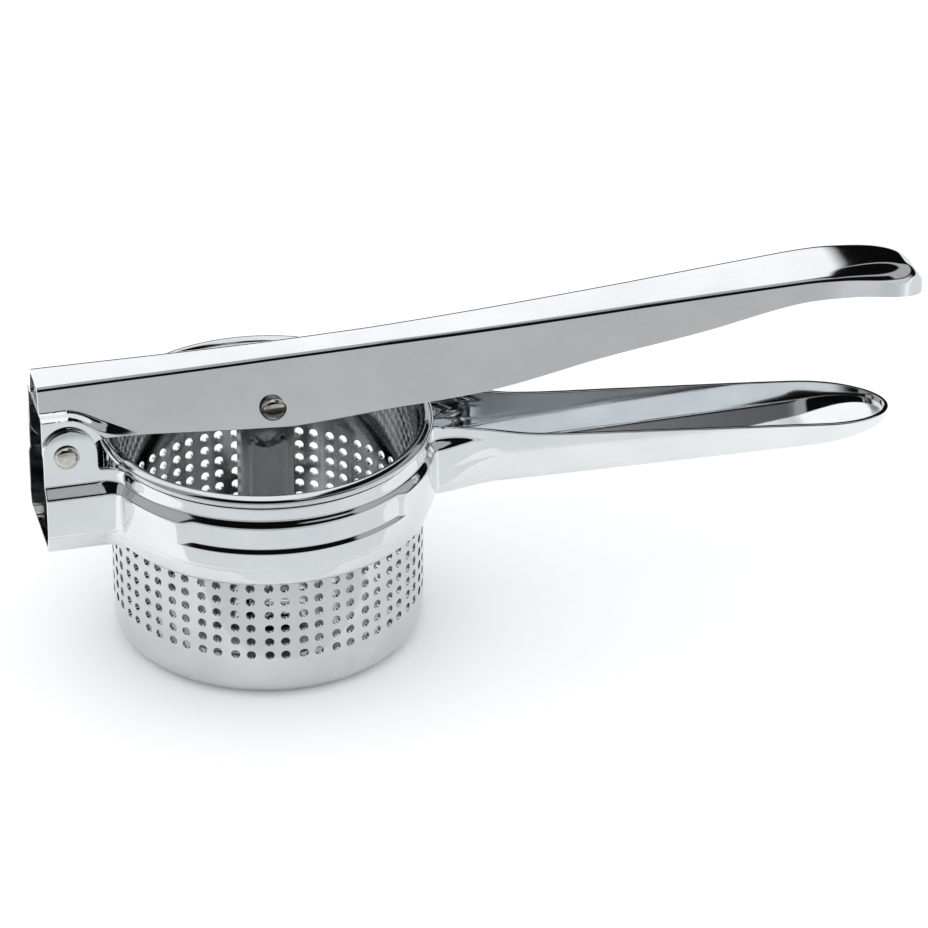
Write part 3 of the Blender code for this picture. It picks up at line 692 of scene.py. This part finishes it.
def leverSection(x):
    roundStart = lever["end"] - lever["round"]
    taper = 1.0
    if x > roundStart:
        fullness = lever["fullness"]
        taper = max(1.0 - ((x - roundStart) / lever["round"]) ** fullness, 0.0) ** (1.0 / fullness)
    top = easedCurve(leverTop, x)
    low = lowerEdge(x)
    halfTop = straightCurve(leverHalfTop, x)
    bend = lever["bend"] + (lever["noseBend"] - lever["bend"]) * smoothStep(146.0, 176.0, x)
    bend = min(bend, 0.8 * (top - low))
    lean = lever["flare"]
    reach = top - bend + bend * math.sin(lean)
    points = []
    for step in range(91):
        z = low + (reach - low) * step / 90
        points.append((leverWall(x, z, top, halfTop, bend), z))
    for step in range(1, 11):
        turn = lean + (math.pi / 2 - lean) * step / 10
        points.append((halfTop - bend + bend * math.cos(turn), top - bend + bend * math.sin(turn)))
    points += [((halfTop - bend) * (1 - step / 3), top) for step in range(1, 4)]
    return [Vector((x, -y * taper, z)) * mm for y, z in points]


def makeLever():
    left = lever["hingeX"] - lever["heel"]
    places = [left + lever["heel"] * (1 - math.cos(math.radians(90 * step / 12))) for step in range(13)]
    places += [lever["hingeX"] + 26.0 * step / 90 for step in range(1, 91)]
    start = places[-1]
    roundStart = lever["end"] - lever["round"]
    places += [start + (roundStart - start) * step / 90 for step in range(1, 91)]
    places += [roundStart + lever["round"] * math.sin(math.radians(90 * step / 30)) for step in range(1, 31)]
    rows = [leverSection(x) for x in places]
    shape = bmesh.new()
    addGrid(shape, rows, mirror=True)
    mesh = finishMesh(shape, "leverShell", lambda at: Vector((0.0, at.y, at.z - 0.070)))
    shell = addPiece("leverShell", mesh, chromedPressing, "lever_body", ["lever"])
    thicken(shell, lever["sheet"] * mm, 0.22 * mm)
    for vertex in shell.data.vertices:
        vertex.co.x = max(vertex.co.x, left * mm)
    return shell


makeLever()
print("lever made")


# plunger: folded stem, disc and the rivets between them

plunger = {
    "pinX": 0.4,
    "pinZ": 69.4,
    "stemX": -0.4,
    "stemHalf": 7.0,
    "depth": 4.0,
    "crease": 1.0,
    "fold": 1.5,
    "shoulder": 60.9,
    "creaseFade": 7.5,
    "armCentre": 55.6,  # height of the Y's fork, and how far its arms rise
    "armRise": 3.6,
    "proud": 0.9,
    "ear": 4.6,
    "foot": 9.5,
    "sheet": 1.2,
    "discX": -1.8,
    "discRadius": 38.0,
    "discBottom": 3.2,
    "discSheet": 1.5,
    "discLip": 2.4,
    "rivet": 1.5,
    "rivetHead": 2.4,
    "gap": 0.3,
}
footTop = plunger["discBottom"] + plunger["discSheet"] + plunger["gap"] + plunger["sheet"]


def stemDepth(x, z):
    # the leg's outer face: a V crease down its middle, splitting into a Y under the shoulder
    fade = smoothStep(plunger["shoulder"] - 0.8, plunger["shoulder"] - plunger["creaseFade"], z)
    across = abs(x - plunger["stemX"]) / (plunger["stemHalf"] - 1.0)
    spread = 1.0 - 0.55 * (1.0 - fade)
    groove = plunger["crease"] * fade * max(1.0 - across / max(spread, 0.1), 0.0) ** 1.3
    arm = plunger["armCentre"] + plunger["armRise"] * across
    proud = plunger["proud"] * smoothStep(arm + 0.5, arm - 0.5, z) * smoothStep(0.917, 0.72, across)
    return plunger["depth"] - groove + proud * smoothStep(10.0, 42.0, z)


def makeStem():
    shape = bmesh.new()
    left = plunger["stemX"] - plunger["stemHalf"]
    right = plunger["stemX"] + plunger["stemHalf"]
    fold = plunger["fold"]
    heights = [footTop + 2.0 + (plunger["shoulder"] - footTop - 2.0) * step / 60 for step in range(61)]
    rows = []
    for z in heights:
        half = []
        for step in range(25):
            x = right + (left + fold - right) * step / 24
            half.append((x, stemDepth(x, z)))
        for step in range(1, 7):
            turn = math.radians(15.0 * step)
            half.append((left + fold - fold * math.sin(turn), plunger["depth"] - fold * (1 - math.cos(turn))))
        half += [(left, (plunger["depth"] - fold) * (1 - step / 3)) for step in range(1, 4)]
        row = [Vector((x, -y, z)) for x, y in half]
        row += [Vector((x, y, z)) for x, y in half[-2::-1]]
        rows.append([p * mm for p in row])
    addGrid(shape, rows)
    for side in (-1.0, 1.0):
        # ear above the shoulder
        ear = []
        for step in range(17):
            z = plunger["shoulder"] + (plunger["pinZ"] + plunger["ear"] - plunger["shoulder"]) * step / 16
            rise = z - plunger["pinZ"]
            wide = plunger["ear"] if rise < 0.0 else math.sqrt(max(plunger["ear"] ** 2 - rise**2, 0.0))
            share = smoothStep(plunger["shoulder"] + 4.5, plunger["shoulder"], z)
            lowX = (plunger["pinX"] - wide) * (1 - share) + (left + fold) * share
            highX = (plunger["pinX"] + wide) * (1 - share) + right * share
            edgeToEdge = [highX + (lowX - highX) * k / 24 for k in range(25)]
            ear.append([Vector((x, side * plunger["depth"], z)) * mm for x in edgeToEdge])
        addGrid(shape, ear)
        # foot bent out onto the disc
        foot = []
        for step in range(7):
            turn = math.radians(15.0 * step)
            y = plunger["depth"] + 2.0 * (1 - math.cos(turn))
            z = footTop + 2.0 - 2.0 * math.sin(turn)
            foot.append([Vector((right + (left + fold - right) * k / 24, 0.0, z)) * mm for k in range(25)])
            for k, point in enumerate(foot[-1]):
                x = point.x / mm
                point.y = side * (y + (stemDepth(x, footTop + 2.0) - plunger["depth"]) * math.cos(turn)) * mm
        for step in range(1, 4):
            y = plunger["depth"] + 2.0 + (plunger["foot"] - 2.0) * step / 3
            foot.append([Vector((p.x, side * y * mm, footTop * mm)) for p in foot[6]])
        addGrid(shape, foot)
    mesh = finishMesh(shape, "stemFold", lambda at: Vector((-(0.012 - at.x), at.y, 0.0)))
    stem = addPiece("stemFold", mesh, brushedStainless, "plunger_body", ["stem"])
    thicken(stem, plunger["sheet"] * mm, 0.15 * mm)
    return stem


makeStem()

discRadius = plunger["discRadius"]
discLow = plunger["discBottom"]
discProfile = softLine(
    [
        (0.01, discLow),
        (discRadius - 2.5, discLow),
        (discRadius - 0.6, discLow + 0.7),
        (discRadius, discLow + plunger["discLip"]),
        (discRadius - 1.1, discLow + plunger["discLip"]),
        (discRadius - 2.4, discLow + plunger["discSheet"] + 0.25),
        (discRadius - 5.0, discLow + plunger["discSheet"]),
        (discRadius - 10.0, discLow + plunger["discSheet"]),
        (discRadius - 10.8, discLow + plunger["discSheet"] - 0.3),
        (0.01, discLow + plunger["discSheet"] - 0.3),
    ],
    (1.0, 0.8, 0.35, 0.35, 0.8, 0.8, 0.4, 0.4),
)
discMesh = turnedMesh("plungerPlate", [p * mm for p in discProfile], 128, centre=(plunger["discX"] * mm, 0.0))
addPiece("plungerPlate", discMesh, polishedStainless, "plunger_body", ["plunger_disc"])

number = 0
for side in (-1.0, 1.0):
    for shift in (-3.3, 3.3):
        number += 1
        low = discLow - plunger["gap"]
        seat = footTop + plunger["gap"]
        shank = plunger["rivet"]
        head = plunger["rivetHead"]
        outline = [
            (0.01, low - 0.6),
            (head * 0.6, low - 0.55),
            (head * 0.92, low - 0.25),
            (head, low),
            (shank, low),
            (shank, seat),
        ]
        outline += [(head, seat), (head * 0.94, seat + 0.45), (head * 0.7, seat + 0.85), (0.01, seat + 1.0)]
        at = ((plunger["stemX"] + shift) * mm, side * (plunger["depth"] + plunger["foot"] * 0.55) * mm)
        mesh = turnedMesh(f"footRivet{number}", [Vector(p) * mm for p in outline], 28, centre=at)
        addPiece(f"footRivet{number}", mesh, peenedSteel, "plunger_body", [f"disc_rivet_{number}"])
print("plunger made")


# peened pins at the hinge and at the plunger's pivot

pins = {"radius": 2.0, "head": 3.4, "dome": 1.3, "seat": 0.3}


def rivetOutline(halfGrip):
    seat = halfGrip + pins["seat"]
    head = pins["head"]
    side = [
        (pins["radius"], seat),
        (head * 0.93, seat),
        (head, seat + 0.08),
        (head, seat + 0.22),
        (head * 0.95, seat + 0.32),
    ]
    side += [(head * 0.86, seat + 0.34)]
    for step in range(1, 13):
        turn = math.radians(90.0 * step / 12)
        side.append(
            (head * 0.84 * math.cos(turn) + 0.003, seat + 0.36 + (pins["dome"] - 0.36) * math.sin(turn))
        )
    return [(r, -y) for r, y in side[::-1]] + side


def leverHalfAtPin():
    x = plunger["pinX"]
    return leverWall(
        x,
        plunger["pinZ"] - pins["head"],
        easedCurve(leverTop, x),
        straightCurve(leverHalfTop, x),
        lever["bend"],
    )


for name, node, body, x, z, grip in (
    ("hingeRivet", "hinge_pin", "frame_body", lever["hingeX"], lever["hingeZ"], pressing["bracketHalf"]),
    ("plungerRivet", "plunger_pin", "lever_body", plunger["pinX"], plunger["pinZ"], leverHalfAtPin()),
):
    outline = [Vector(p) * mm for p in rivetOutline(grip)]
    mesh = turnedMesh(name, outline, 48, centre=(x * mm, z * mm), alongY=True)
    addPiece(name, mesh, peenedSteel, body, [node])
for node in ("hinge_sleeve", "plunger_sleeve"):
    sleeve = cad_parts[node]
    sleeve.data.materials.clear()
    sleeve.data.materials.append(peenedSteel)
print("rivets made")


# studio: pale floor, soft white light all round, and cards that only the mirror finish sees

studio = {
    "floor": "#FBFBFB",
    "light": 1.24,
    "dark": 0.005,
    "panel": 1.5,
    "side": 0.58,
    "wallLeft": 0.7,
    "wallRight": 0.92,
    "cardNear": -0.06,
    "cardFar": -0.75,
    "cardSide": 0.23,
    "cardLeft": 0.92,
    "cardRight": 1.42,
}


def stagePlane(name, low, high, height):
    mesh = bpy.data.meshes.new(name)
    corners = [
        (low[0], low[1], height),
        (high[0], low[1], height),
        (high[0], high[1], height),
        (low[0], high[1], height),
    ]
    mesh.from_pydata(corners, [], [(0, 1, 2, 3)])
    plane = bpy.data.objects.new(name, mesh)
    bpy.context.scene.collection.objects.link(plane)
    return plane


floor = stagePlane("studioFloor", (-6.0, -6.0), (6.0, 6.0), -0.0002)
paper = bpy.data.materials.new("mattPaperSweep")  # matt paper: a soft white with no shine
paper.use_nodes = True
paperShader = paper.node_tree.nodes["Principled BSDF"]
paperShader.inputs["Base Color"].default_value = linear(studio["floor"])
paperShader.inputs["Roughness"].default_value = 0.9
paperShader.inputs["Specular IOR Level"].default_value = 0.0
floor.data.materials.append(paper)

card = stagePlane("shadeCard", (-5.9, -5.9), (5.9, studio["cardNear"]), 0.0006)
sideCard = stagePlane("sideCard", (studio["cardSide"], studio["cardNear"]), (5.9, 1.2), 0.0006)
for sheet in (card, sideCard):
    for ray in ("camera", "diffuse", "shadow", "transmission", "volume_scatter"):
        setattr(sheet, f"visible_{ray}", False)
cardPaper = bpy.data.materials.new("greyCard")  # grey card: the table falling away into the dark room
cardPaper.use_nodes = True
tree = cardPaper.node_tree
tree.nodes.remove(tree.nodes["Principled BSDF"])
at = addNode(tree, "ShaderNodeNewGeometry")
parts = addNode(tree, "ShaderNodeSeparateXYZ", None, {"Vector": (at, "Position")})
away = addNode(
    tree,
    "ShaderNodeMapRange",
    {"From Min": studio["cardNear"], "From Max": studio["cardFar"], "To Min": 0.0, "To Max": 1.0},
    {"Value": (parts, "Y")},
)
fall = addNode(tree, "ShaderNodeValToRGB", None, {"Fac": (away, "Result")})
fall.color_ramp.interpolation = "EASE"
fall.color_ramp.elements[0].color = linear("#F4F6F8")
fall.color_ramp.elements[1].color = linear("#B2B5B5")
for position, shade in ((0.16, "#F0F3F5"), (0.38, "#C4C8C8"), (0.66, "#B6BAB9")):
    stop = fall.color_ramp.elements.new(position)
    stop.color = linear(shade)
spread = addNode(tree, "ShaderNodeMath", None, {0: (parts, "X"), 1: (away, "Result")}, operation="MULTIPLY")
lit = addNode(
    tree, "ShaderNodeMapRange",
    {"From Min": 0.0, "From Max": 0.16, "To Min": studio["cardLeft"], "To Max": studio["cardRight"]},
    {"Value": (spread, "Value")},
)
glow = addNode(tree, "ShaderNodeEmission", None, {"Color": (fall, "Color"), "Strength": (lit, "Result")})
tree.links.new(glow.outputs["Emission"], tree.nodes["Material Output"].inputs["Surface"])
card.data.materials.append(cardPaper)
sideCard.data.materials.append(cardPaper)

world = bpy.data.worlds.new("softStudio")
bpy.context.scene.world = world
world.use_nodes = True
world.cycles.sampling_method = "NONE"
tree = world.node_tree
toward = addNode(tree, "ShaderNodeTexCoord")
parts = addNode(tree, "ShaderNodeSeparateXYZ", None, {"Vector": (toward, "Generated")})
behind = addNode(
    tree,
    "ShaderNodeVectorMath",
    {1: (0.217, 0.976, 0.0)},
    {0: (toward, "Generated")},
    operation="DOT_PRODUCT",
)
backMask = addNode(
    tree, "ShaderNodeMapRange", {"From Min": -0.12, "From Max": 0.05}, {"Value": (behind, "Value")}
)
highMask = addNode(tree, "ShaderNodeMapRange", {"From Min": 0.36, "From Max": 0.43}, {"Value": (parts, "Z")})
backPanel = addNode(
    tree, "ShaderNodeMath", None, {0: (backMask, "Result"), 1: (highMask, "Result")}, operation="MULTIPLY"
)
overhead = addNode(tree, "ShaderNodeMapRange", {"From Min": 0.86, "From Max": 0.93}, {"Value": (parts, "Z")})
panel = addNode(
    tree, "ShaderNodeMath", None, {0: (backPanel, "Value"), 1: (overhead, "Result")}, operation="MAXIMUM"
)
flat = addNode(
    tree, "ShaderNodeVectorMath", {1: (1.0, 1.0, 0.0)}, {0: (toward, "Generated")}, operation="MULTIPLY"
)
heading = addNode(tree, "ShaderNodeVectorMath", None, {0: (flat, "Vector")}, operation="NORMALIZE")
heads = addNode(tree, "ShaderNodeSeparateXYZ", None, {"Vector": (heading, "Vector")})
rightEdge = addNode(
    tree,
    "ShaderNodeMapRange",
    {"From Min": 0.605, "From Max": 0.49, "To Min": 0.178, "To Max": 0.75},
    {"Value": (parts, "Z")},
)
pastRight = addNode(
    tree, "ShaderNodeMath", None, {0: (heads, "X"), 1: (rightEdge, "Result")}, operation="SUBTRACT"
)
rightSide = addNode(
    tree, "ShaderNodeMapRange", {"From Min": -0.02, "From Max": 0.02}, {"Value": (pastRight, "Value")}
)
leftward = addNode(
    tree,
    "ShaderNodeVectorMath",
    {1: (-0.9914, 0.1305, 0.0)},
    {0: (heading, "Vector")},
    operation="DOT_PRODUCT",
)
leftSide = addNode(
    tree, "ShaderNodeMapRange", {"From Min": 0.832, "From Max": 0.852}, {"Value": (leftward, "Value")}
)
farRight = addNode(tree, "ShaderNodeMapRange", {"From Min": 0.36, "From Max": 0.44}, {"Value": (heads, "X")})
highUp = addNode(tree, "ShaderNodeMapRange", {"From Min": 0.62, "From Max": 0.66}, {"Value": (parts, "Z")})
corner = addNode(
    tree, "ShaderNodeMath", None, {0: (farRight, "Result"), 1: (highUp, "Result")}, operation="MULTIPLY"
)
rightPart = addNode(
    tree, "ShaderNodeMath", None, {0: (rightSide, "Result"), 1: (corner, "Value")}, operation="SUBTRACT"
)
aside = addNode(
    tree, "ShaderNodeMath", None, {0: (rightPart, "Value"), 1: (leftSide, "Result")}, operation="MAXIMUM"
)
sideHigh = addNode(tree, "ShaderNodeMapRange", {"From Min": 0.18, "From Max": 0.24}, {"Value": (parts, "Z")})
sidePanel = addNode(
    tree, "ShaderNodeMath", None, {0: (aside, "Value"), 1: (sideHigh, "Result")}, operation="MULTIPLY"
)
sideGlow = addNode(
    tree,
    "ShaderNodeMath",
    {1: studio["side"], 2: studio["dark"]},
    {0: (sidePanel, "Value")},
    operation="MULTIPLY_ADD",
)
sweep = addNode(
    tree,
    "ShaderNodeMapRange",
    {"From Min": 0.2, "From Max": 0.38, "To Min": studio["wallLeft"], "To Max": studio["wallRight"]},
    {"Value": (heads, "X")},
)
wallTop = addNode(tree, "ShaderNodeMapRange", {"From Min": 0.17, "From Max": 0.11}, {"Value": (parts, "Z")})
wallGlow = addNode(
    tree, "ShaderNodeMath", None, {0: (sweep, "Result"), 1: (wallTop, "Result")}, operation="MULTIPLY"
)
frontMask = addNode(
    tree, "ShaderNodeMapRange", {"From Min": 0.3, "From Max": -0.1}, {"Value": (behind, "Value")}
)
frontGlow = addNode(
    tree, "ShaderNodeMath", None, {0: (wallGlow, "Value"), 1: (frontMask, "Result")}, operation="MULTIPLY"
)
lowGlow = addNode(
    tree, "ShaderNodeMath", None, {0: (sideGlow, "Value"), 1: (frontGlow, "Value")}, operation="MAXIMUM"
)
panelEnd = addNode(
    tree,
    "ShaderNodeMapRange",
    {"From Min": 0.31, "From Max": 0.27, "To Max": studio["panel"]},
    {"Value": (parts, "X")},
)
path = addNode(tree, "ShaderNodeLightPath")
later = addNode(
    tree,
    "ShaderNodeMapRange",
    {"From Min": 2.4, "From Max": 2.6, "To Max": studio["panel"]},
    {"Value": (path, "Ray Depth")},
)
panelReach = addNode(
    tree, "ShaderNodeMath", None, {0: (panelEnd, "Result"), 1: (later, "Result")}, operation="MAXIMUM"
)
panelGlow = addNode(
    tree, "ShaderNodeMath", None, {0: (panel, "Value"), 1: (panelReach, "Value")}, operation="MULTIPLY"
)
seen = addNode(
    tree, "ShaderNodeMath", None, {0: (lowGlow, "Value"), 1: (panelGlow, "Value")}, operation="MAXIMUM"
)
mirrorLight = addNode(tree, "ShaderNodeBackground", None, {"Strength": (seen, "Value")})
softLight = tree.nodes["Background"]
softLight.inputs["Color"].default_value = linear("#FDFEFF")
softLight.inputs["Strength"].default_value = studio["light"]
choice = addNode(
    tree, "ShaderNodeMixShader", None,
    {0: (path, "Is Glossy Ray"), 1: (softLight, "Background"), 2: (mirrorLight, "Background")},
)
tree.links.new(choice.outputs["Shader"], tree.nodes["World Output"].inputs["Surface"])
bpy.context.scene.view_settings.view_transform = "Standard"
bpy.context.scene.view_settings.look = "None"
print("studio lit")


# camera: a long lens from the front left, looking down

view = {
    "place": (-0.22661, -1.07816, 0.69443),
    "around": math.radians(14.62),
    "down": math.radians(30.44),
    "roll": math.radians(0.26),
    "lens": 185.2,
}
sinA, cosA = math.sin(view["around"]), math.cos(view["around"])
sinE, cosE = math.sin(view["down"]), math.cos(view["down"])
ahead = Vector((sinA * cosE, cosA * cosE, -sinE))
right = Vector((cosA, -sinA, 0.0))
up = Vector((sinA * sinE, cosA * sinE, cosE))
rolledRight = right * math.cos(view["roll"]) + up * math.sin(view["roll"])
rolledUp = up * math.cos(view["roll"]) - right * math.sin(view["roll"])
turnMatrix = Matrix((rolledRight, rolledUp, -ahead)).transposed().to_4x4()
cameraData = bpy.data.cameras.new("studioCamera")
cameraData.lens = view["lens"]
cameraData.sensor_width = 36.0
cameraData.clip_start = 0.05
cameraData.clip_end = 50.0
camera = bpy.data.objects.new("studioCamera", cameraData)
camera.matrix_world = Matrix.Translation(view["place"]) @ turnMatrix
bpy.context.scene.collection.objects.link(camera)
bpy.context.scene.camera = camera
print("camera set")

bpy.context.view_layer.update()
